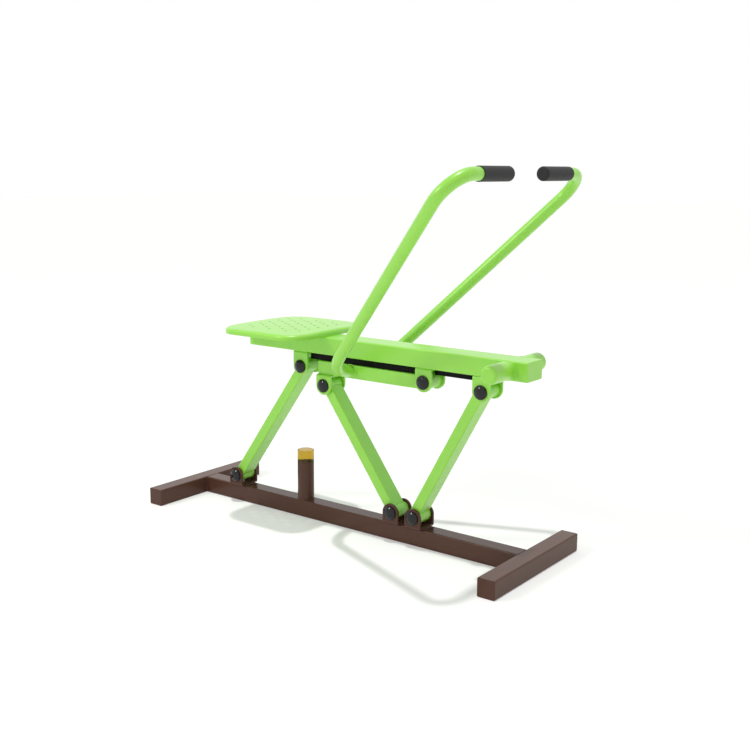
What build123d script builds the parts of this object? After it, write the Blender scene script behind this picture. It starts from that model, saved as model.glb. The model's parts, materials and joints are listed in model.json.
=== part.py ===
"""Outdoor riding and rowing trainer: a seat beam on two swinging links over a steel H base,
with a handlebar lever hung under the beam and a drive link that lifts the rider.

Millimetres, +Z up.  +X points from the seat to the foot pegs, +Y to the rider's left.
The origin is on the ground, under the middle of the base.
"""
import os
from math import cos, hypot, pi, radians, sqrt, tan

from build123d import *

# Base: one square tube along X between two square tubes along Y
base_length = 1220.0
foot_length = 430.0
base_tube = 50.0
base_wall = 3.0
base_corner = 4.0
end_plate = 3.0
end_plate_edge = 1.2
least_corner = 0.5

# Pivot places at rest, along X from the middle of the base
rear_base_x = -422.0
mid_base_x = 167.0
front_base_x = 241.0
rear_beam_x = -155.0
lever_pivot_x = 270.0
front_beam_x = 447.0
lever_rear_x = -70.0

# How far each pivot stands off the tube that its bracket is welded to
base_pivot_rise = 31.0
rear_beam_drop = 44.0
lever_pivot_drop = 38.0
front_beam_drop = 41.0
lever_rear_drop = 31.0

# U brackets of bent plate
bracket_plate = 6.0
bracket_gap = 56.0
bracket_length = 52.0
bracket_bend = 6.0
bracket_edge = 1.0

# Axle bolts, flanged nylon bushes and domed caps
axle_diameter = 16.0
axle_fit = 0.05
hex_across = 22.0
hex_sides = 6
hex_height = 5.0
thread_end = 0.5
bush_wall = 7.0
bush_fit = 0.02
bush_flange = 1.5
bush_flange_lip = 4.0
bush_middle_gap = 2.0
side_play = 0.25
spacer_wall = 2.0
cap_diameter = 38.0
cap_side = 4.0
cap_dome = 7.5
cap_shoulder = 2.5
cap_room_side = 1.2
cap_room_end = 0.6

# Links: flat tube between two welded sleeves; the front one stands behind the line of its pivots
link_width = 50.0
link_depth = 30.0
link_wall = 2.5
link_corner = 3.0
link_end_gap = 8.0
front_link_back = 6.0
sleeve_diameter = 40.0
weld_gap = 0.05

# Seat beam
beam_bottom = 497.0
beam_width = 75.0
beam_height = 50.0
beam_wall = 3.0
beam_corner = 4.0
beam_rear_x = -348.0
beam_front_x = 580.0

# Rubber strips under the beam: the rear one is the lever's rest stop, so it reaches the lever
strip_width = 36.0
front_strip_height = 16.5
strip_end_gap = 0.5
strip_edge = 2.0

# Seat pan of perforated sheet, crowned in the middle, on two cross bars
seat_length = 295.0
seat_width = 336.0
seat_height = 19.0
seat_crown = 3.0
seat_sheet = 2.5
seat_corner = 68.0
seat_edge = 9.0
seat_middle_x = -209.5
seat_bar_width = 20.0
seat_bar_length = 250.0
seat_bar_wall = 2.0
seat_bar_corner = 2.5
hole_diameter = 8.0
hole_pitch_x = 31.0
hole_pitch_y = 41.0
hole_rows = 7
hole_columns = 6

# Foot pegs: round tube with a domed end on each side of the beam
peg_diameter = 48.0
peg_wall = 3.0
peg_length = 90.0
peg_x = 522.0
peg_cap = 12.0
peg_edge = 10.0

# Lever and handlebars; half widths are measured from the middle plane
lever_width = 50.0
lever_height = 38.0
lever_drop = 40.0
lever_wall = 2.5
lever_corner = 3.0
bar_diameter = 32.0
bar_wall = 2.5
bar_foot_x = 22.0
bar_foot_rise = 4.0
bar_foot_half = 121.0
bar_foot_straight = 1.0
bar_top_x = 538.0
bar_top_z = 998.0
bar_top_half = 331.0
bar_top_bend = 70.0
grip_wall = 2.0
grip_fit = 0.05
grip_length = 135.0
grip_inner_half = 81.0
grip_end = 5.0
grip_edge = 5.0

# Bumper post and its buffer, which stops the drive link at the top of the stroke
post_diameter = 48.3
post_wall = 3.0
post_height = 114.0
post_x = -166.5
buffer_height = 35.0
buffer_edge = 2.0
spigot_length = 15.0
spigot_fit = 0.05

# Heights, widths and places that follow from the sizes above
base_pivot_z = base_tube + base_pivot_rise
lever_z = beam_bottom - lever_drop
lever_bottom = lever_z - lever_height / 2
lever_top = lever_z + lever_height / 2
lever_rear_end_x = lever_rear_x - bracket_length / 2
beam_top = beam_bottom + beam_height
beam_middle_z = beam_bottom + beam_height / 2
bracket_width = bracket_gap + 2 * bracket_plate
bore_diameter = axle_diameter + 2 * axle_fit
bush_diameter = bore_diameter + 2 * bush_wall
sleeve_bore = bush_diameter + 2 * bush_fit
sleeve_length = bracket_gap - 2 * (bush_flange + side_play)
spacer_diameter = bore_diameter + 2 * spacer_wall
grip_bore = bar_diameter + 2 * grip_fit
grip_diameter = grip_bore + 2 * grip_wall
post_bore = post_diameter - 2 * post_wall

rear_base_pivot = Vector(rear_base_x, 0, base_pivot_z)
mid_base_pivot = Vector(mid_base_x, 0, base_pivot_z)
front_base_pivot = Vector(front_base_x, 0, base_pivot_z)
rear_beam_pivot = Vector(rear_beam_x, 0, beam_bottom - rear_beam_drop)
lever_pivot = Vector(lever_pivot_x, 0, beam_bottom - lever_pivot_drop)
front_beam_pivot = Vector(front_beam_x, 0, beam_bottom - front_beam_drop)
lever_rear_pivot = Vector(lever_rear_x, 0, lever_bottom - lever_rear_drop)

os.makedirs("parts", exist_ok=True)


def write(piece, name):
    """Label a finished piece and write it under its name."""
    piece.part.label = name
    export_step(piece.part, f"parts/{name}.step")


def along_y(place, start_y):
    """Sketch plane at start_y, square to the Y axis through a place, that extrudes towards +Y."""
    return Plane(origin=(place.X, start_y, place.Z), x_dir=(-1, 0, 0), z_dir=(0, 1, 0))


def outward(place, side, start_y):
    """Sketch plane on one side of the middle plane that extrudes away from it."""
    return Plane(origin=(place.X, side * start_y, place.Z), x_dir=(-side, 0, 0), z_dir=(0, side, 0))


def tube_section(width, height, wall, corner):
    """Section of a rectangular tube with rounded corners, in the sketch in hand."""
    inner_corner = max(corner - wall, least_corner)
    RectangleRounded(width, height, corner)
    RectangleRounded(width - 2 * wall, height - 2 * wall, inner_corner, mode=Mode.SUBTRACT)


def ring_section(outer, inner):
    """Section of a round tube, in the sketch in hand."""
    Circle(outer / 2)
    Circle(inner / 2, mode=Mode.SUBTRACT)


# Base rail and the two feet, with a plate welded over each open foot end
rail_end = base_length / 2 - base_tube
with BuildPart() as base_rail:
    with BuildSketch(Plane(origin=(-rail_end, 0, base_tube / 2), x_dir=(0, 1, 0), z_dir=(1, 0, 0))):
        tube_section(base_tube, base_tube, base_wall, base_corner)
    extrude(amount=2 * rail_end)
write(base_rail, "base_rail")

foot_x = (base_length - base_tube) / 2
foot_places = {
    "rear_foot": Vector(-foot_x, 0, base_tube / 2),
    "front_foot": Vector(foot_x, 0, base_tube / 2),
}
foot_tube_half = foot_length / 2 - end_plate
for foot_name, place in foot_places.items():
    with BuildPart() as foot:
        with BuildSketch(along_y(place, -foot_tube_half)):
            tube_section(base_tube, base_tube, base_wall, base_corner)
        extrude(amount=2 * foot_tube_half)
    write(foot, foot_name)

with BuildPart() as foot_end_plates:
    for place in foot_places.values():
        for side in (-1, 1):
            with BuildSketch(outward(place, side, foot_tube_half)):
                RectangleRounded(base_tube, base_tube, base_corner)
            extrude(amount=end_plate)
    plate_faces = foot_end_plates.faces().filter_by(Axis.Y).group_by(Axis.Y)
    fillet((plate_faces[0] + plate_faces[-1]).edges(), end_plate_edge)
write(foot_end_plates, "foot_end_plates")

# Bumper post on the rail, and the clear buffer whose spigot sits in the post
post_top = base_tube + post_height
with BuildPart() as bumper_post:
    with BuildSketch(Plane.XY.offset(base_tube)):
        with Locations((post_x, 0)):
            ring_section(post_diameter, post_bore)
    extrude(amount=post_height)
write(bumper_post, "bumper_post")

with BuildPart() as bumper_buffer:
    with BuildSketch(Plane.XY.offset(post_top)):
        with Locations((post_x, 0)):
            Circle(post_diameter / 2)
    extrude(amount=buffer_height)
    fillet(bumper_buffer.edges().group_by(Axis.Z)[-1], buffer_edge)
    with BuildSketch(Plane.XY.offset(post_top)):
        with Locations((post_x, 0)):
            Circle(post_bore / 2 - spigot_fit)
    extrude(amount=-spigot_length)
write(bumper_buffer, "bumper_buffer")

# Seven U brackets: the back is welded to a tube and the ears are round about the pivot
bracket_seats = {
    "rear_base_bracket": (rear_base_pivot, base_tube),
    "mid_base_bracket": (mid_base_pivot, base_tube),
    "front_base_bracket": (front_base_pivot, base_tube),
    "rear_beam_bracket": (rear_beam_pivot, beam_bottom),
    "lever_bracket": (lever_pivot, beam_bottom),
    "front_beam_bracket": (front_beam_pivot, beam_bottom),
    "lever_clevis": (lever_rear_pivot, lever_bottom),
}
for bracket_name, (pivot, seat_z) in bracket_seats.items():
    toward = 1 if pivot.Z > seat_z else -1
    reach = abs(pivot.Z - seat_z)
    ear_height = reach + bracket_length / 2
    with BuildPart() as bracket:
        with BuildSketch(Plane(origin=(pivot.X, 0, seat_z), x_dir=(0, toward, 0), z_dir=(1, 0, 0))):
            Rectangle(bracket_width, ear_height, align=(Align.CENTER, Align.MIN))
            fillet(vertices().group_by(Axis.Y)[0], bracket_bend)
            with Locations((0, bracket_plate)):
                Rectangle(bracket_gap, ear_height, align=(Align.CENTER, Align.MIN), mode=Mode.SUBTRACT)
        extrude(amount=bracket_length / 2, both=True)
        with BuildSketch(Plane(origin=(pivot.X, 0, seat_z), x_dir=(1, 0, 0), z_dir=(0, -toward, 0))):
            Rectangle(bracket_length, reach, align=(Align.CENTER, Align.MIN))
            with Locations((0, reach)):
                Circle(bracket_length / 2)
                Circle(bore_diameter / 2, mode=Mode.SUBTRACT)
        extrude(amount=bracket_width, both=True, mode=Mode.INTERSECT)
        ears = bracket.faces().filter_by(Axis.Y).group_by(Axis.Y)
        ear_arcs = (ears[0] + ears[-1]).edges().filter_by(GeomType.CIRCLE).sort_by(SortBy.RADIUS)[-2:]
        fillet(ear_arcs, bracket_edge)
    write(bracket, bracket_name)

# Axle bolts, one through each bracket, with the head on the right side and the nut on the left
axle_pivots = {
    "rear_base_axle": rear_base_pivot,
    "mid_base_axle": mid_base_pivot,
    "front_base_axle": front_base_pivot,
    "rear_beam_axle": rear_beam_pivot,
    "lever_axle": lever_pivot,
    "front_beam_axle": front_beam_pivot,
    "lever_rear_axle": lever_rear_pivot,
}
for axle_name, pivot in axle_pivots.items():
    with BuildPart() as axle:
        with BuildSketch(outward(pivot, -1, bracket_width / 2)):
            RegularPolygon(hex_across / 2, hex_sides, major_radius=False)
        extrude(amount=hex_height)
        with BuildSketch(along_y(pivot, -bracket_width / 2)):
            Circle(axle_diameter / 2)
        extrude(amount=bracket_width + hex_height + thread_end)
    write(axle, axle_name)

# Nuts and domed caps, grouped by the frame that carries them
axle_groups = {
    "base_axle": (rear_base_pivot, mid_base_pivot, front_base_pivot),
    "beam_axle": (rear_beam_pivot, lever_pivot, front_beam_pivot),
    "lever_rear": (lever_rear_pivot,),
}
hex_corner_radius = hex_across / 2 / cos(pi / hex_sides)
cap_room_radius = hex_corner_radius + cap_room_side
cap_room_height = hex_height + thread_end + cap_room_end
for group_name, pivots in axle_groups.items():
    with BuildPart() as nuts:
        for pivot in pivots:
            with BuildSketch(outward(pivot, 1, bracket_width / 2)):
                RegularPolygon(hex_across / 2, hex_sides, major_radius=False)
                Circle(bore_diameter / 2, mode=Mode.SUBTRACT)
            extrude(amount=hex_height)
    write(nuts, f"{group_name}_nuts")

    with BuildPart() as caps:
        for pivot in pivots:
            for side in (-1, 1):
                cap_foot = (pivot.X, side * bracket_width / 2, pivot.Z)
                with BuildSketch(Plane(origin=cap_foot, x_dir=(1, 0, 0), z_dir=(0, 0, side))):
                    with BuildLine():
                        Polyline((0, cap_side + cap_dome), (0, cap_room_height),
                                 (cap_room_radius, cap_room_height), (cap_room_radius, 0),
                                 (cap_diameter / 2, 0), (cap_diameter / 2, cap_side))
                        TangentArc((0, cap_side + cap_dome), (cap_diameter / 2, cap_side), tangent=(1, 0))
                    make_face()
                    fillet(vertices().group_by(Axis.X)[-1].sort_by(Axis.Y)[-1], cap_shoulder)
                revolve(axis=Axis(cap_foot, (0, side, 0)))
    write(caps, f"{group_name}_caps")

# Links: a flat tube coped round a sleeve at each end
link_ends = {
    "rear_link": (rear_base_pivot, rear_beam_pivot),
    "mid_link": (mid_base_pivot, lever_rear_pivot),
    "front_link": (front_base_pivot, front_beam_pivot),
}
link_backs = {"rear_link": 0.0, "mid_link": 0.0, "front_link": front_link_back}
for link_name, (lower, upper) in link_ends.items():
    run = upper - lower
    with BuildPart() as link:
        with BuildSketch(Plane(origin=lower, x_dir=(0, 1, 0), z_dir=run).offset(link_end_gap)):
            with Locations((0, link_backs[link_name])):
                tube_section(link_width, link_depth, link_wall, link_corner)
        extrude(amount=run.length - 2 * link_end_gap)
        for pivot in (lower, upper):
            with BuildSketch(along_y(pivot, -link_width)):
                Circle(sleeve_diameter / 2 + weld_gap)
            extrude(amount=2 * link_width, mode=Mode.SUBTRACT)
    write(link, f"{link_name}_tube")

# Sleeves: two on each link and one at the front of the lever
sleeve_pivots = {f"{name}_sleeves": ends for name, ends in link_ends.items()}
sleeve_pivots["lever_sleeve"] = (lever_pivot,)
for sleeve_name, pivots in sleeve_pivots.items():
    with BuildPart() as sleeves:
        for pivot in pivots:
            with BuildSketch(along_y(pivot, -sleeve_length / 2)):
                ring_section(sleeve_diameter, sleeve_bore)
            extrude(amount=sleeve_length)
    write(sleeves, sleeve_name)

# Flanged bushes, a pair pressed into each sleeve that carries a running joint
bush_pivots = {
    "rear_base_bushes": rear_base_pivot,
    "mid_base_bushes": mid_base_pivot,
    "front_base_bushes": front_base_pivot,
    "rear_beam_bushes": rear_beam_pivot,
    "lever_bushes": lever_pivot,
}
for bush_name, pivot in bush_pivots.items():
    with BuildPart() as bushes:
        for side in (-1, 1):
            with BuildSketch(outward(pivot, side, bush_middle_gap / 2)):
                ring_section(bush_diameter, bore_diameter)
            extrude(amount=(sleeve_length - bush_middle_gap) / 2)
            with BuildSketch(outward(pivot, side, sleeve_length / 2)):
                ring_section(bush_diameter + 2 * bush_flange_lip, bore_diameter)
            extrude(amount=bush_flange)
    write(bushes, bush_name)

# Spacer tubes on the two axles that run with play in their sleeves
spacer_pivots = {"front_beam_spacer": front_beam_pivot, "lever_rear_spacer": lever_rear_pivot}
spacer_length = bracket_gap - 2 * side_play
for spacer_name, pivot in spacer_pivots.items():
    with BuildPart() as spacer:
        with BuildSketch(along_y(pivot, -spacer_length / 2)):
            ring_section(spacer_diameter, bore_diameter)
        extrude(amount=spacer_length)
    write(spacer, spacer_name)

# Seat beam with a plate welded over each end
beam_ends = {-1: beam_rear_x + end_plate, 1: beam_front_x - end_plate}
with BuildPart() as seat_beam:
    with BuildSketch(Plane(origin=(beam_ends[-1], 0, beam_middle_z), x_dir=(0, 1, 0), z_dir=(1, 0, 0))):
        tube_section(beam_width, beam_height, beam_wall, beam_corner)
    extrude(amount=beam_ends[1] - beam_ends[-1])
write(seat_beam, "seat_beam")

with BuildPart() as beam_end_plates:
    for end, end_x in beam_ends.items():
        with BuildSketch(Plane(origin=(end_x, 0, beam_middle_z), x_dir=(0, end, 0), z_dir=(end, 0, 0))):
            RectangleRounded(beam_width, beam_height, beam_corner)
        extrude(amount=end_plate)
    plate_faces = beam_end_plates.faces().filter_by(Axis.X).group_by(Axis.X)
    fillet((plate_faces[0] + plate_faces[-1]).edges(), end_plate_edge)
write(beam_end_plates, "beam_end_plates")

# Rubber strips between the brackets
strip_margin = bracket_length / 2 + strip_end_gap
strip_spans = {
    "rear_strip": (rear_beam_x, lever_pivot_x, beam_bottom - lever_top),
    "front_strip": (lever_pivot_x, front_beam_x, front_strip_height),
}
for strip_name, (from_x, to_x, strip_height) in strip_spans.items():
    with BuildPart() as strip:
        with BuildSketch(Plane(origin=(from_x + strip_margin, 0, beam_bottom), x_dir=(0, -1, 0),
                               z_dir=(1, 0, 0))):
            Rectangle(strip_width, strip_height, align=(Align.CENTER, Align.MIN))
            fillet(vertices().group_by(Axis.Y)[-1], strip_edge)
        extrude(amount=to_x - from_x - 2 * strip_margin)
    write(strip, strip_name)

# Seat pan: a shallow tray turned down at the rim, with a crowned top and staggered drain holes
crown_radius = ((seat_width / 2) ** 2 + seat_crown ** 2) / (2 * seat_crown)


def crowned_block(inset):
    """Rounded block under the seat's crown, smaller all round by an inset."""
    with BuildPart() as block:
        with BuildSketch(Plane.XY.offset(beam_top)):
            with Locations((seat_middle_x, 0)):
                RectangleRounded(seat_length - 2 * inset, seat_width - 2 * inset, seat_corner - inset)
        extrude(amount=seat_height)
        with Locations((seat_middle_x, 0, beam_top + seat_height - crown_radius)):
            Sphere(crown_radius - inset, mode=Mode.INTERSECT)
        fillet(block.faces().sort_by(Axis.Z)[-1].edges(), seat_edge - inset)
    return block.part


seat_outside = crowned_block(0)
seat_inside = crowned_block(seat_sheet)
with BuildPart() as seat_pan:
    add(seat_outside)
    add(seat_inside, mode=Mode.SUBTRACT)
    with BuildSketch(Plane.XY.offset(beam_top + seat_height)):
        with Locations((seat_middle_x, 0)):
            with GridLocations(2 * hole_pitch_x, hole_pitch_y, hole_rows // 2, hole_columns):
                Circle(hole_diameter / 2)
            with GridLocations(2 * hole_pitch_x, hole_pitch_y, hole_rows // 2 + 1, hole_columns - 1):
                Circle(hole_diameter / 2)
    extrude(amount=-seat_height, mode=Mode.SUBTRACT)
write(seat_pan, "seat_pan")

# Cross bars between the outer two rows of holes at each end; their tips touch the pan
seat_bar_spacing = (hole_rows - 2) * hole_pitch_x
seat_bar_reach = hypot((seat_bar_spacing + seat_bar_width) / 2, seat_bar_length / 2)
pan_rise = sqrt((crown_radius - seat_sheet) ** 2 - seat_bar_reach ** 2)
seat_bar_height = seat_height - crown_radius + pan_rise
with BuildPart() as seat_bars:
    for end in (-1, 1):
        bar_place = Vector(seat_middle_x + end * seat_bar_spacing / 2, 0, beam_top + seat_bar_height / 2)
        with BuildSketch(along_y(bar_place, -seat_bar_length / 2)):
            tube_section(seat_bar_width, seat_bar_height, seat_bar_wall, seat_bar_corner)
        extrude(amount=seat_bar_length)
write(seat_bars, "seat_bars")

# Foot pegs and their domed ends
peg_place = Vector(peg_x, 0, beam_middle_z)
peg_tube_end = beam_width / 2 + peg_length - peg_cap
sides = {"right": -1, "left": 1}
for side_name, side in sides.items():
    with BuildPart() as foot_peg:
        with BuildSketch(outward(peg_place, side, beam_width / 2)):
            ring_section(peg_diameter, peg_diameter - 2 * peg_wall)
        extrude(amount=peg_length - peg_cap)
    write(foot_peg, f"{side_name}_foot_peg")

    with BuildPart() as peg_end:
        with BuildSketch(outward(peg_place, side, peg_tube_end)):
            Circle(peg_diameter / 2)
        extrude(amount=peg_cap)
        fillet(peg_end.edges().filter_by(GeomType.CIRCLE).sort_by(Axis.Y)[-1 if side > 0 else 0], peg_edge)
    write(peg_end, f"{side_name}_peg_end")

# Lever tube, coped round its sleeve in front and closed by a plate behind
lever_tube_start_x = lever_rear_end_x + end_plate
with BuildPart() as lever_tube_piece:
    with BuildSketch(Plane(origin=(lever_tube_start_x, 0, lever_z), x_dir=(0, 1, 0), z_dir=(1, 0, 0))):
        tube_section(lever_width, lever_height, lever_wall, lever_corner)
    extrude(amount=lever_pivot_x - link_end_gap - lever_tube_start_x)
    with BuildSketch(along_y(lever_pivot, -lever_width)):
        Circle(sleeve_diameter / 2 + weld_gap)
    extrude(amount=2 * lever_width, mode=Mode.SUBTRACT)
write(lever_tube_piece, "lever_tube")

with BuildPart() as lever_end_plate:
    with BuildSketch(Plane(origin=(lever_rear_end_x, 0, lever_z), x_dir=(0, 1, 0), z_dir=(1, 0, 0))):
        RectangleRounded(lever_width, lever_height, lever_corner)
    extrude(amount=end_plate)
    fillet(lever_end_plate.faces().sort_by(Axis.X)[0].edges(), end_plate_edge)
write(lever_end_plate, "lever_end_plate")

# Handlebars: a short foot welded to the lever's side, a splayed upright and an inward grip
bar_foot_z = lever_z + bar_foot_rise
bar_end_half = grip_inner_half + grip_end
bar_upright = Vector(bar_top_x - bar_foot_x, bar_top_half - bar_foot_half, bar_top_z - bar_foot_z)
bar_foot_turn = radians(bar_upright.get_angle(Vector(0, 1, 0)))
bar_foot_bend = (bar_foot_half - lever_width / 2 - bar_foot_straight) / tan(bar_foot_turn / 2)
for side_name, side in sides.items():
    with BuildPart() as handlebar:
        with BuildLine() as bar_path:
            FilletPolyline(
                (bar_foot_x, side * lever_width / 2, bar_foot_z),
                (bar_foot_x, side * bar_foot_half, bar_foot_z),
                (bar_top_x, side * bar_top_half, bar_top_z),
                (bar_top_x, side * bar_end_half, bar_top_z),
                radius=[bar_foot_bend, bar_top_bend],
            )
        with BuildSketch(outward(Vector(bar_foot_x, 0, bar_foot_z), side, lever_width / 2)):
            ring_section(bar_diameter, bar_diameter - 2 * bar_wall)
        sweep(path=bar_path.line)
    write(handlebar, f"{side_name}_handlebar")

    with BuildPart() as grip:
        grip_place = Vector(bar_top_x, 0, bar_top_z)
        with BuildSketch(outward(grip_place, side, grip_inner_half)):
            Circle(grip_diameter / 2)
        extrude(amount=grip_length)
        fillet(grip.edges().sort_by(Axis.Y)[0 if side > 0 else -1], grip_edge)
        with BuildSketch(outward(grip_place, side, bar_end_half)):
            Circle(grip_bore / 2)
        extrude(amount=grip_length - grip_end, mode=Mode.SUBTRACT)
    write(grip, f"{side_name}_grip")
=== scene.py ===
"""Looks of an outdoor riding and rowing trainer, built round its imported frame.

Every size is in metres, in the frame's own axes: +X from the seat to the foot pegs, +Z up.
"""
import json
from math import ceil, cos, radians, sin, sqrt, tau

import bmesh
import bpy
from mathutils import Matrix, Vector


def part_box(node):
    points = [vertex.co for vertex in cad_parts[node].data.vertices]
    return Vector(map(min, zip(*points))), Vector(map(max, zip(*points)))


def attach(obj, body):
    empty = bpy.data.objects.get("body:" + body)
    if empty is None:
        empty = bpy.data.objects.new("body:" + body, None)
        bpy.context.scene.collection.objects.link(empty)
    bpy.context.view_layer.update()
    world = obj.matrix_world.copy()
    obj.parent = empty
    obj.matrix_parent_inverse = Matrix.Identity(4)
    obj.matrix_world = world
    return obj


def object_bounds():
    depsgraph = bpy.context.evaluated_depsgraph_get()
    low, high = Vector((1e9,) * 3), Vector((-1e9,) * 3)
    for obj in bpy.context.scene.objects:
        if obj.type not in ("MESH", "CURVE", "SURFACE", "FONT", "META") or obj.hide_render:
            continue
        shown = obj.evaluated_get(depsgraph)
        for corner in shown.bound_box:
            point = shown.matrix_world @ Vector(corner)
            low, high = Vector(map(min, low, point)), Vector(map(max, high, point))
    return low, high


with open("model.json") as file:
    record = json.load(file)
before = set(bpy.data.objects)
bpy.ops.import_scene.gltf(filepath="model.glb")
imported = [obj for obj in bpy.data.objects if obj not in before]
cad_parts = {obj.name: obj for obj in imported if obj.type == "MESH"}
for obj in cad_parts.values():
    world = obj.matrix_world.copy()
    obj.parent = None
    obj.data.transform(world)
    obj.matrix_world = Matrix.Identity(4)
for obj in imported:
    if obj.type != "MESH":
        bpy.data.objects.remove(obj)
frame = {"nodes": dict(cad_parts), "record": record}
cad_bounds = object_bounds()

bl_info = {
    "name": "Riding Trainer Looks",
    "version": (1, 0, 0),
    "blender": (4, 5, 0),
    "location": "View3D > Sidebar > Trainer",
    "description": "Paints, welds and stages an outdoor riding and rowing trainer",
    "category": "Object",
}

MM = 0.001
WHITE = (1.0, 1.0, 1.0, 1.0)
SENSOR_WIDTH = 36.0  # in millimetres, as Blender's camera takes it

# Ways along X, and the two sides of a piece
REAR, FRONT = -1, 1
SIDES = (-1, 1)

# Form of a weld bead
BEAD_SIDES = 8
STEPS_PER_RIPPLE = 4
LEAST_STEPS = 12  # along a run or round a ring
RIPPLE_SWELL = 0.1  # share of the bead's radius that a ripple adds
TIP_SHARE = 0.35  # share of the bead's radius that is left at its ends
GROOVE_SHARE = 0.25  # share of a corner's radius that a bead lies into the groove beside the corner
SLEEVE_SHARE = 0.25  # share of the bead's radius that a bead stays inside its sleeve's side


def linear(hex_code):
    """Linear RGBA of an sRGB hex colour."""
    shares = [int(hex_code[i:i + 2], 16) / 255 for i in (1, 3, 5)]
    return tuple(s / 12.92 if s <= 0.04045 else ((s + 0.055) / 1.055) ** 2.4 for s in shares) + (1.0,)


def colour(name, description, hex_code):
    """Colour property with an sRGB hex default."""
    return bpy.props.FloatVectorProperty(
        name=name, description=description, subtype="COLOR", size=4, min=0, max=1,
        default=linear(hex_code))


def length(name, description, millimetres):
    """Length property with a default in millimetres."""
    return bpy.props.FloatProperty(
        name=name, description=description, subtype="DISTANCE", unit="LENGTH", min=0,
        default=millimetres * MM)


class TrainerFinish(bpy.types.PropertyGroup):
    """Colours of the painted, moulded and plated pieces."""
    green: colour("Green", "Powder coat of the beam, links, seat and bars", "#90D840")
    brown: colour("Brown", "Powder coat of the base", "#54382D")
    cap: colour("Cap", "Moulded axle caps", "#17181A")
    grip: colour("Grip", "Rubber grips", "#1E1D1F")
    strip: colour("Strip", "Rubber strips under the beam", "#0B0C0B")
    amber: colour("Amber", "Clear buffer on the bumper post", "#BF9D2C")
    zinc: colour("Zinc", "Plated bolts, nuts and spacers", "#B4B8BC")
    nylon: colour("Nylon", "Bushes in the sleeves", "#E4E0D3")


class TrainerDetail(bpy.types.PropertyGroup):
    """Sizes of the small details."""
    bead: length("Bead", "Radius of a weld bead", 1.9)
    ripple: length("Ripple", "Spacing of the ripples along a weld bead", 3.6)
    link_depth: length("Link depth", "Depth of a link's tube", 30.0)
    front_link_back: length(
        "Front link back", "How far the front link's tube stands behind its pivots", 6.0)
    corner: length("Corner", "Radius of the tubes' corners that a bead stops short of", 4.0)
    bar: length("Bar", "Diameter of a handlebar's tube", 32.0)
    peel: length("Orange peel", "Width of a ripple in the powder coat", 3.0)
    grain: length("Grain", "Width of a pebble in the rubber's skin", 1.2)


class TrainerStage(bpy.types.PropertyGroup):
    """Camera, floor and light."""
    camera_place: bpy.props.FloatVectorProperty(
        name="Camera place", description="Where the camera stands", subtype="TRANSLATION", unit="LENGTH",
        default=(1.8055, -2.2655, 1.0058))
    camera_turn: bpy.props.FloatVectorProperty(
        name="Camera turn", description="How the camera is turned", subtype="EULER", unit="ROTATION",
        default=(radians(78.98), radians(-0.30), radians(37.24)))
    camera_lens: bpy.props.FloatProperty(
        name="Lens", description="Focal length on a 36 mm wide sensor", unit="CAMERA", default=50.63)
    floor: colour("Floor", "Plain pale floor", "#F8F8F6")
    floor_size: length("Floor size", "Side of the square floor", 60000.0)
    floor_white: bpy.props.FloatProperty(
        name="Floor white", description="Share of plain white in the floor, which lightens its shadows",
        subtype="FACTOR", min=0, max=1, default=0.22)
    sun_power: bpy.props.FloatProperty(
        name="Sun", description="Strength of the light from straight above", min=0, default=1.55)
    sun_angle: bpy.props.FloatProperty(
        name="Sun angle", description="How wide the light from above is, which softens the shadows' edges",
        subtype="ANGLE", unit="ROTATION", min=0, default=radians(2.2))
    sky_power: bpy.props.FloatProperty(
        name="Sky", description="Strength of the even light from all round", min=0, default=0.58)
    front_place: bpy.props.FloatVectorProperty(
        name="Front softbox", description="Where the weak softbox stands that gives the caps a highlight",
        subtype="TRANSLATION", unit="LENGTH", default=(-1.9, -3.1, 3.1))
    front_size: length("Front softbox size", "Diameter of the front softbox", 800.0)
    front_power: bpy.props.FloatProperty(
        name="Front power", description="Power of the front softbox", min=0, unit="POWER", default=42.0)


def add_node(tree, kind, settings=(), links=()):
    """Add a node, set its properties and input values, and link its inputs to other nodes' outputs."""
    node = tree.nodes.new(kind)
    sockets = {}
    for socket in node.inputs:
        sockets.setdefault(socket.name, socket)
        sockets[socket.identifier] = socket
    for name, value in dict(settings).items():
        if name in sockets:
            sockets[name].default_value = value
        else:
            setattr(node, name, value)
    for name, output in dict(links).items():
        tree.links.new(output, sockets[name])
    return node


def empty_tree(owner):
    """Cleared node tree of a new material or world."""
    owner.use_nodes = True
    owner.node_tree.nodes.clear()
    return owner.node_tree


def new_material(name):
    """Empty material, its node tree and the object coordinates for its patterns."""
    material = bpy.data.materials.new(name)
    tree = empty_tree(material)
    place = add_node(tree, "ShaderNodeTexCoord").outputs["Object"]
    return material, tree, place


def mottled(tree, paint, pattern, drift, reach=1.0):
    """Colour of a paint whose brightness goes from 1 - drift to 1 + drift over a pattern's reach."""
    tone = add_node(
        tree, "ShaderNodeMapRange", {"From Max": reach, "To Min": 1 - drift, "To Max": 1 + drift},
        {"Value": pattern})
    tint = add_node(
        tree, "ShaderNodeHueSaturation", {"Color": paint}, {"Value": tone.outputs["Result"]})
    return tint.outputs["Color"]


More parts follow.
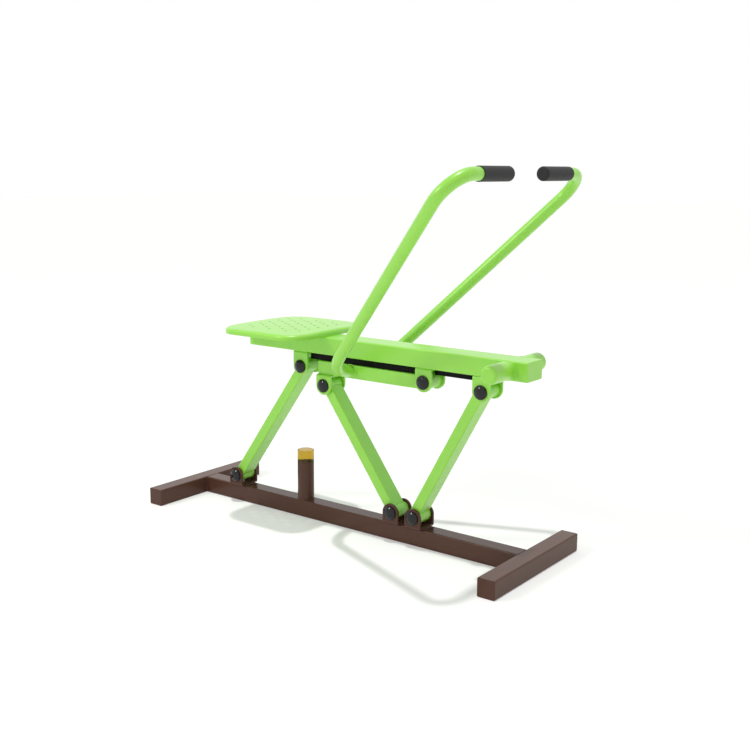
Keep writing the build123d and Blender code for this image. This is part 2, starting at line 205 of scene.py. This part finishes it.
def powder_coat(name, paint, peel, roughness, specular, coat):
    """Polyester powder coat, sprayed on steel and baked."""
    # The eye gets a nearly even colour with a soft gloss, whose highlights a faint orange peel breaks up.
    # A real peel is 1 to 2 mm wide. It is drawn about a pixel of the render wide, as finer doesn't show.
    peel_depth = 0.12 * MM
    cloud_width = 60 * MM
    tone_drift = 0.06
    roughness_drift = 0.05
    material, tree, place = new_material(name)
    cloud = add_node(
        tree, "ShaderNodeTexNoise", {"Scale": 1 / cloud_width, "Detail": 3.0}, {"Vector": place})
    skin = add_node(
        tree, "ShaderNodeTexNoise", {"Scale": 1 / peel, "Detail": 2.0, "Roughness": 0.4}, {"Vector": place})
    rough = add_node(
        tree, "ShaderNodeMapRange",
        {"To Min": roughness - roughness_drift, "To Max": roughness + roughness_drift},
        {"Value": cloud.outputs["Fac"]})
    bump = add_node(
        tree, "ShaderNodeBump", {"Strength": 0.25, "Distance": peel_depth}, {"Height": skin.outputs["Fac"]})
    shader = add_node(
        tree, "ShaderNodeBsdfPrincipled",
        {"IOR": 1.5, "Specular IOR Level": specular, "Coat Weight": coat, "Coat Roughness": 0.26},
        {"Base Color": mottled(tree, paint, cloud.outputs["Fac"], tone_drift),
         "Roughness": rough.outputs["Result"], "Normal": bump.outputs["Normal"]})
    add_node(tree, "ShaderNodeOutputMaterial", links={"Surface": shader.outputs["BSDF"]})
    return material


def moulded_plastic(name, paint, roughness, specular, grain, depth):
    """Injection-moulded plastic, one colour through."""
    # The eye gets the smooth skin of a steel mould, with faint flow marks and a shallow unevenness.
    flow_width = 14 * MM
    tone_drift = 0.15
    material, tree, place = new_material(name)
    flow = add_node(
        tree, "ShaderNodeTexNoise", {"Scale": 1 / flow_width, "Detail": 2.0}, {"Vector": place})
    skin = add_node(
        tree, "ShaderNodeTexNoise", {"Scale": 1 / grain, "Detail": 1.0}, {"Vector": place})
    bump = add_node(
        tree, "ShaderNodeBump", {"Strength": 0.3, "Distance": depth}, {"Height": skin.outputs["Fac"]})
    shader = add_node(
        tree, "ShaderNodeBsdfPrincipled",
        {"IOR": 1.49, "Roughness": roughness, "Specular IOR Level": specular},
        {"Base Color": mottled(tree, paint, flow.outputs["Fac"], tone_drift),
         "Normal": bump.outputs["Normal"]})
    add_node(tree, "ShaderNodeOutputMaterial", links={"Surface": shader.outputs["BSDF"]})
    return material


def rubber(name, paint, roughness, specular, grain):
    """Extruded rubber, black through."""
    # The eye gets a matt black whose fine pebbles are a little greyer on top, with painted shade in the
    # hollows between them.
    # Real pebbles are about 0.5 mm wide. They are drawn over twice as wide, to show in a close view.
    pebble_depth = 0.15 * MM
    pebble_reach = 0.7
    # Painted shade: the colour is darkest in the hollows between the pebbles and lightest on their tops.
    tone_drift = -0.12
    material, tree, place = new_material(name)
    pebble = add_node(
        tree, "ShaderNodeTexVoronoi", {"Scale": 1 / grain, "feature": "SMOOTH_F1"}, {"Vector": place})
    hollow = pebble.outputs["Distance"]
    bump = add_node(
        tree, "ShaderNodeBump", {"Strength": 0.5, "Distance": pebble_depth, "invert": True},
        {"Height": hollow})
    shader = add_node(
        tree, "ShaderNodeBsdfPrincipled",
        {"IOR": 1.52, "Roughness": roughness, "Specular IOR Level": specular},
        {"Base Color": mottled(tree, paint, hollow, tone_drift, pebble_reach),
         "Normal": bump.outputs["Normal"]})
    add_node(tree, "ShaderNodeOutputMaterial", links={"Surface": shader.outputs["BSDF"]})
    return material


def clear_polyurethane(name, paint):
    """Cast polyurethane, clear and coloured through."""
    # The eye gets a soft glossy skin over a clear body that is faintly cloudy inside.
    # Its own index is near 1.5. A lower one is set, as the short buffer hardly bends what shows through.
    cloud_width = 9 * MM
    tone_drift = 0.08
    material, tree, place = new_material(name)
    cloud = add_node(
        tree, "ShaderNodeTexNoise", {"Scale": 1 / cloud_width, "Detail": 2.0}, {"Vector": place})
    shader = add_node(
        tree, "ShaderNodeBsdfPrincipled",
        {"IOR": 1.12, "Roughness": 0.06, "Transmission Weight": 0.92, "Coat Weight": 0.4,
         "Coat Roughness": 0.1},
        {"Base Color": mottled(tree, paint, cloud.outputs["Fac"], tone_drift)})
    add_node(tree, "ShaderNodeOutputMaterial", links={"Surface": shader.outputs["BSDF"]})
    return material


def plated_steel(name, paint):
    """Zinc-plated steel, drawn to bar before it is turned."""
    # The eye gets a dull silver with fine lines along the axles.
    # Real lines are about 0.1 mm wide. They are drawn coarser, to show in a close view.
    line_width = 0.6 * MM
    line_stretch = 20
    line_depth = 0.05 * MM
    smoothest, roughest = 0.28, 0.46
    material, tree, place = new_material(name)
    drawn = add_node(
        tree, "ShaderNodeMapping", {"Scale": (1.0, 1 / line_stretch, 1.0)}, {"Vector": place})
    lines = add_node(
        tree, "ShaderNodeTexNoise", {"Scale": 1 / line_width, "Detail": 2.0},
        {"Vector": drawn.outputs["Vector"]})
    rough = add_node(
        tree, "ShaderNodeMapRange", {"To Min": smoothest, "To Max": roughest},
        {"Value": lines.outputs["Fac"]})
    bump = add_node(
        tree, "ShaderNodeBump", {"Strength": 0.2, "Distance": line_depth}, {"Height": lines.outputs["Fac"]})
    shader = add_node(
        tree, "ShaderNodeBsdfPrincipled", {"Base Color": paint, "Metallic": 1.0},
        {"Roughness": rough.outputs["Result"], "Normal": bump.outputs["Normal"]})
    add_node(tree, "ShaderNodeOutputMaterial", links={"Surface": shader.outputs["BSDF"]})
    return material


def coat_slot(slot, material):
    """Give a material to every frame node of a record slot."""
    subparts = frame["record"]["subparts"]
    nodes = [subpart["node"] for subpart in subparts if subpart["material_slot"] == slot]
    if not nodes:
        raise RuntimeError(f"No node of the frame has the slot {slot}")
    for node in nodes:
        coats = frame["nodes"][node].data.materials
        coats.clear()
        coats.append(material)


def turns(count):
    """Angles of a full turn in equal steps."""
    return [tau * i / count for i in range(count)]


def run_points(start, end, step):
    """Points from start to end, about a step apart."""
    count = max(LEAST_STEPS, ceil((end - start).length / step))
    return [start.lerp(end, i / count) for i in range(count + 1)]


def ring_points(centre, axis, radius, step):
    """Points round a circle, about a step apart."""
    across = axis.orthogonal().normalized()
    along = axis.normalized().cross(across)
    count = max(LEAST_STEPS, ceil(tau * radius / step))
    return [centre + radius * (cos(t) * across + sin(t) * along) for t in turns(count)]


def add_bead(mesh, points, detail, closed):
    """Add one rippled weld bead along points to a mesh in hand; an open bead tapers at its ends."""
    count = len(points)
    step = (points[1] - points[0]).length
    taper = 2 * detail.bead
    rings = []
    for i, point in enumerate(points):
        before = points[i - 1] if closed or i else point
        after = points[(i + 1) % count] if closed or i < count - 1 else point
        along = (after - before).normalized()
        across = along.orthogonal() if not rings else across - along * across.dot(along)
        across.normalize()
        other = along.cross(across)
        swell = detail.bead * (1 + RIPPLE_SWELL * sin(tau * i * step / detail.ripple))
        if not closed:
            swell *= min(1, TIP_SHARE + min(i, count - 1 - i) * step / taper)
        spokes = [cos(t) * across + sin(t) * other for t in turns(BEAD_SIDES)]
        rings.append([mesh.verts.new(point + swell * spoke) for spoke in spokes])
    pairs = list(zip(rings, rings[1:]))
    if closed:
        pairs.append((rings[-1], rings[0]))
    else:
        mesh.faces.new(reversed(rings[0]))
        mesh.faces.new(rings[-1])
    for one, two in pairs:
        for s in range(BEAD_SIDES):
            next_s = (s + 1) % BEAD_SIDES
            mesh.faces.new((one[s], one[next_s], two[next_s], two[s]))


def weld_object(name, runs, rings, body, slot, material, detail):
    """Weld beads of one body as one piece, from (start, end) runs and (centre, axis, radius) rings."""
    step = detail.ripple / STEPS_PER_RIPPLE
    mesh = bmesh.new()
    for start, end in runs:
        add_bead(mesh, run_points(start, end, step), detail, closed=False)
    for centre, axis, radius in rings:
        add_bead(mesh, ring_points(centre, axis, radius, step), detail, closed=True)
    for face in mesh.faces:
        face.smooth = True
    data = bpy.data.meshes.new(name)
    mesh.to_mesh(data)
    mesh.free()
    data.materials.append(material)
    piece = bpy.data.objects.new(name, data)
    bpy.context.scene.collection.objects.link(piece)
    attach(piece, body)


def across_runs(node, ends, half, z):
    """Runs along Y at the rear or front ends of a bracket's back."""
    low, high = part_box(node)
    places = {REAR: low.x, FRONT: high.x}
    return [tuple(Vector((places[end], side * half, z)) for side in SIDES) for end in ends]


def side_runs(node, half, z, margin):
    """Runs along X on both sides of a bracket's back."""
    low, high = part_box(node)
    ends = (low.x + margin, high.x - margin)
    return [tuple(Vector((x, side * half, z)) for x in ends) for side in SIDES]


def sleeve_runs(link, leans, back, detail):
    """Runs along Y where a link's tube meets its two sleeves.

    The link's top leans to the rear or the front, and its tube stands back from the line of its pivots.
    """
    low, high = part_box(f"{link}_sleeves")
    # All sleeves are of one tube
    sleeve_low, sleeve_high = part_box("lever_sleeve")
    radius = (sleeve_high.z - sleeve_low.z) / 2
    lower_x, upper_x = sorted((low.x + radius, high.x - radius), reverse=leans == REAR)
    lower = Vector((lower_x, 0, low.z + radius))
    upper = Vector((upper_x, 0, high.z - radius))
    along = (upper - lower).normalized()
    square = Vector((along.z, 0, -along.x))
    half = Vector((0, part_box(f"{link}_tube")[1].y - detail.corner, 0))
    runs = []
    for pivot, inward in ((lower, along), (upper, -along)):
        for side in SIDES:
            # A face of the tube that passes outside the sleeve gets its bead just inside the sleeve's side
            rise = min(abs(side * detail.link_depth / 2 - back), radius - SLEEVE_SHARE * detail.bead)
            reach = sqrt(radius ** 2 - rise ** 2)
            place = pivot + reach * inward + side * rise * square
            runs.append((place - half, place + half))
    return runs


def seen_rays(tree):
    """Output that is 1 for rays that show a surface: to the camera, in gloss and through clear pieces."""
    rays = add_node(tree, "ShaderNodeLightPath").outputs
    seen = rays["Is Camera Ray"]
    for name in ("Is Glossy Ray", "Is Transmission Ray"):
        links = {"Value": seen, "Value_001": rays[name]}
        seen = add_node(tree, "ShaderNodeMath", {"operation": "MAXIMUM"}, links).outputs[0]
    return seen


class TRAINER_OT_powder_coat(bpy.types.Operator):
    """Coat the moving frame green and the base brown"""
    bl_idname = "trainer.powder_coat"
    bl_label = "Powder coat"

    def execute(self, context):
        finish = context.scene.trainer_finish
        peel = context.scene.trainer_detail.peel
        green = powder_coat(
            "green_powder_coat", finish.green, peel, roughness=0.40, specular=0.5, coat=0.55)
        brown = powder_coat(
            "brown_powder_coat", finish.brown, peel, roughness=0.22, specular=0.2, coat=0.0)
        coat_slot("green_paint", green)
        coat_slot("brown_paint", brown)
        return {"FINISHED"}


class TRAINER_OT_welds(bpy.types.Operator):
    """Lay the painted weld beads of the base, the links, the beam and the lever"""
    bl_idname = "trainer.welds"
    bl_label = "Welds"

    def base(self, detail):
        """Beads between the rail, its feet, its brackets and the post."""
        low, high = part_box("base_rail")
        edge = high.y - detail.corner
        groove = GROOVE_SHARE * detail.corner
        seam_z = high.z - detail.bead / 2
        runs = []
        for end, x in ((REAR, low.x), (FRONT, high.x)):
            # The top bead fills the groove that the foot's rounded edge leaves at the rail's end
            seam_x = x + end * groove
            runs.append(tuple(Vector((seam_x, side * edge, seam_z)) for side in SIDES))
            for y in (low.y, high.y):
                ends = (low.z + detail.corner, high.z - detail.corner)
                runs.append(tuple(Vector((x, y, z)) for z in ends))
        for node in ("rear_base_bracket", "mid_base_bracket", "front_base_bracket"):
            runs += across_runs(node, (REAR, FRONT), edge, high.z)
            runs += side_runs(node, high.y, high.z - groove, detail.bead)
        foot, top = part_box("bumper_post")
        middle = (foot + top) / 2
        rings = [(Vector((middle.x, middle.y, foot.z)), Vector((0, 0, 1)), (top.x - foot.x) / 2)]
        return runs, rings

    def beam(self, detail):
        """Beads of the brackets under the beam, where no strip is in the way, and of the pegs."""
        low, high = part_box("seat_beam")
        runs = []
        free_ends = {"rear_beam_bracket": (REAR,), "lever_bracket": (), "front_beam_bracket": (FRONT,)}
        for node, ends in free_ends.items():
            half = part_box(node)[1].y - detail.corner
            runs += across_runs(node, ends, half - detail.corner, low.z)
            runs += side_runs(node, half, low.z, detail.bead)
        rings = []
        for node, y in (("right_foot_peg", low.y), ("left_foot_peg", high.y)):
            one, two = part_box(node)
            middle = (one + two) / 2
            rings.append((Vector((middle.x, y, middle.z)), Vector((0, 1, 0)), (two.z - one.z) / 2))
        return runs, rings

    def lever(self, detail):
        """Beads of the clevis under the lever and of the two handlebars at its sides."""
        low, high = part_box("lever_tube")
        edge = high.y - detail.corner
        groove = GROOVE_SHARE * detail.corner
        radius = detail.bar / 2
        runs = across_runs("lever_clevis", (FRONT,), edge, low.z)
        runs += side_runs("lever_clevis", high.y, low.z + groove, detail.bead)
        rings = []
        for node, y in (("right_handlebar", low.y), ("left_handlebar", high.y)):
            foot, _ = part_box(node)
            rings.append((Vector((foot.x + radius, y, foot.z + radius)), Vector((0, 1, 0)), radius))
        return runs, rings

    def execute(self, context):
        detail = context.scene.trainer_detail
        green = bpy.data.materials["green_powder_coat"]
        brown = bpy.data.materials["brown_powder_coat"]
        weld_object("base_welds", *self.base(detail), "base", "brown_paint", brown, detail)
        weld_object("beam_welds", *self.beam(detail), "seat_beam", "green_paint", green, detail)
        weld_object("lever_welds", *self.lever(detail), "lever", "green_paint", green, detail)
        links = (
            ("rear_link", FRONT, 0),
            ("mid_link", REAR, 0),
            ("front_link", FRONT, detail.front_link_back),
        )
        for link, leans, back in links:
            runs = sleeve_runs(link, leans, back, detail)
            weld_object(f"{link}_welds", runs, [], link, "green_paint", green, detail)
        return {"FINISHED"}


class TRAINER_OT_axle_hardware(bpy.types.Operator):
    """Finish the axle caps, bolts, nuts, spacers and bushes"""
    bl_idname = "trainer.axle_hardware"
    bl_label = "Axle hardware"

    def execute(self, context):
        finish = context.scene.trainer_finish
        cap = moulded_plastic(
            "black_polypropylene", finish.cap, roughness=0.10, specular=0.36, grain=3 * MM, depth=0.03 * MM)
        nylon = moulded_plastic(
            "natural_nylon", finish.nylon, roughness=0.45, specular=0.5, grain=1.5 * MM, depth=0.08 * MM)
        coat_slot("black_cap", cap)
        coat_slot("nylon", nylon)
        coat_slot("zinc_steel", plated_steel("zinc_plated_steel", finish.zinc))
        return {"FINISHED"}


class TRAINER_OT_rubber_pieces(bpy.types.Operator):
    """Finish the grips and the strips under the beam"""
    bl_idname = "trainer.rubber_pieces"
    bl_label = "Rubber pieces"

    def execute(self, context):
        finish = context.scene.trainer_finish
        grain = context.scene.trainer_detail.grain
        grip = rubber("grip_rubber", finish.grip, roughness=0.55, specular=0.3, grain=grain)
        strip = rubber("strip_rubber", finish.strip, roughness=0.40, specular=0.08, grain=grain)
        coat_slot("grip_rubber", grip)
        coat_slot("strip_rubber", strip)
        return {"FINISHED"}


class TRAINER_OT_buffer(bpy.types.Operator):
    """Finish the clear buffer on the bumper post"""
    bl_idname = "trainer.buffer"
    bl_label = "Buffer"

    def execute(self, context):
        finish = context.scene.trainer_finish
        coat_slot("amber_buffer", clear_polyurethane("amber_polyurethane", finish.amber))
        return {"FINISHED"}


class TRAINER_OT_stage(bpy.types.Operator):
    """Set the floor, the light and the camera"""
    bl_idname = "trainer.stage"
    bl_label = "Stage"

    def floor(self, stage):
        """Pale paper floor that keeps shadows and reads as white to the camera and in reflections."""
        material = bpy.data.materials.new("floor_paper")
        tree = empty_tree(material)
        share = add_node(
            tree, "ShaderNodeMath", {"operation": "MULTIPLY", "Value_001": stage.floor_white},
            {"Value": seen_rays(tree)})
        matt = add_node(tree, "ShaderNodeBsdfDiffuse", {"Color": stage.floor})
        white = add_node(tree, "ShaderNodeEmission", {"Color": WHITE, "Strength": 1.0})
        mix = add_node(
            tree, "ShaderNodeMixShader",
            links={"Fac": share.outputs[0], "Shader": matt.outputs[0], "Shader_001": white.outputs[0]})
        add_node(tree, "ShaderNodeOutputMaterial", links={"Surface": mix.outputs[0]})
        bpy.ops.mesh.primitive_plane_add(size=stage.floor_size)
        floor = bpy.context.object
        floor.name = "floor"
        floor.data.materials.append(material)

    def sky(self, stage):
        """Even light all round, seen as plain white by the camera and in reflections."""
        world = bpy.data.worlds.new("studio")
        tree = empty_tree(world)
        power = add_node(
            tree, "ShaderNodeMapRange", {"To Min": stage.sky_power, "To Max": 1.0},
            {"Value": seen_rays(tree)})
        light = add_node(
            tree, "ShaderNodeBackground", {"Color": WHITE}, {"Strength": power.outputs["Result"]})
        add_node(tree, "ShaderNodeOutputWorld", links={"Surface": light.outputs[0]})
        bpy.context.scene.world = world

    def lamps(self, stage):
        """Light from straight above, and a weak softbox in front that gives the caps a highlight."""
        above = bpy.data.lights.new("overhead_light", "SUN")
        above.energy = stage.sun_power
        above.angle = stage.sun_angle
        front = bpy.data.lights.new("front_softbox", "AREA")
        front.shape = "DISK"
        front.size = stage.front_size
        front.energy = stage.front_power
        front_lamp = bpy.data.objects.new("front_softbox", front)
        front_lamp.location = stage.front_place
        middle = (cad_bounds[0] + cad_bounds[1]) / 2
        front_lamp.rotation_euler = (middle - front_lamp.location).to_track_quat("-Z", "Y").to_euler()
        return bpy.data.objects.new("overhead_light", above), front_lamp

    def camera(self, stage):
        """Camera at the photograph's viewing angle."""
        camera = bpy.data.objects.new("camera", bpy.data.cameras.new("camera"))
        camera.location = stage.camera_place
        camera.rotation_euler = stage.camera_turn
        camera.data.lens = stage.camera_lens
        camera.data.sensor_width = SENSOR_WIDTH
        return camera

    def execute(self, context):
        stage = context.scene.trainer_stage
        self.floor(stage)
        self.sky(stage)
        camera = self.camera(stage)
        for thing in (*self.lamps(stage), camera):
            context.scene.collection.objects.link(thing)
        context.scene.camera = camera
        context.scene.view_settings.view_transform = "Standard"
        return {"FINISHED"}


STEPS = (
    TRAINER_OT_powder_coat,
    TRAINER_OT_welds,
    TRAINER_OT_axle_hardware,
    TRAINER_OT_rubber_pieces,
    TRAINER_OT_buffer,
    TRAINER_OT_stage,
)
GROUPS = {
    "trainer_finish": TrainerFinish,
    "trainer_detail": TrainerDetail,
    "trainer_stage": TrainerStage,
}


class TRAINER_PT_looks(bpy.types.Panel):
    """Steps that dress the trainer, with the colours and sizes that they use"""
    bl_idname = "TRAINER_PT_looks"
    bl_label = "Trainer"
    bl_space_type = "VIEW_3D"
    bl_region_type = "UI"
    bl_category = "Trainer"

    def draw(self, context):
        for step in STEPS:
            self.layout.operator(step.bl_idname)
        for name, group in GROUPS.items():
            column = self.layout.box().column()
            for field in group.__annotations__:
                column.prop(getattr(context.scene, name), field)


CLASSES = (*GROUPS.values(), *STEPS, TRAINER_PT_looks)


def register():
    """Register the classes and give each scene the property groups."""
    for cls in CLASSES:
        bpy.utils.register_class(cls)
    for name, group in GROUPS.items():
        setattr(bpy.types.Scene, name, bpy.props.PointerProperty(type=group))


def unregister():
    """Take the property groups and the classes away again."""
    for name in GROUPS:
        delattr(bpy.types.Scene, name)
    for cls in reversed(CLASSES):
        bpy.utils.unregister_class(cls)


def main():
    """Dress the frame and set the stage."""
    register()
    bpy.ops.trainer.powder_coat()
    bpy.ops.trainer.welds()
    bpy.ops.trainer.axle_hardware()
    bpy.ops.trainer.rubber_pieces()
    bpy.ops.trainer.buffer()
    bpy.ops.trainer.stage()


if __name__ == "__main__":
    main()
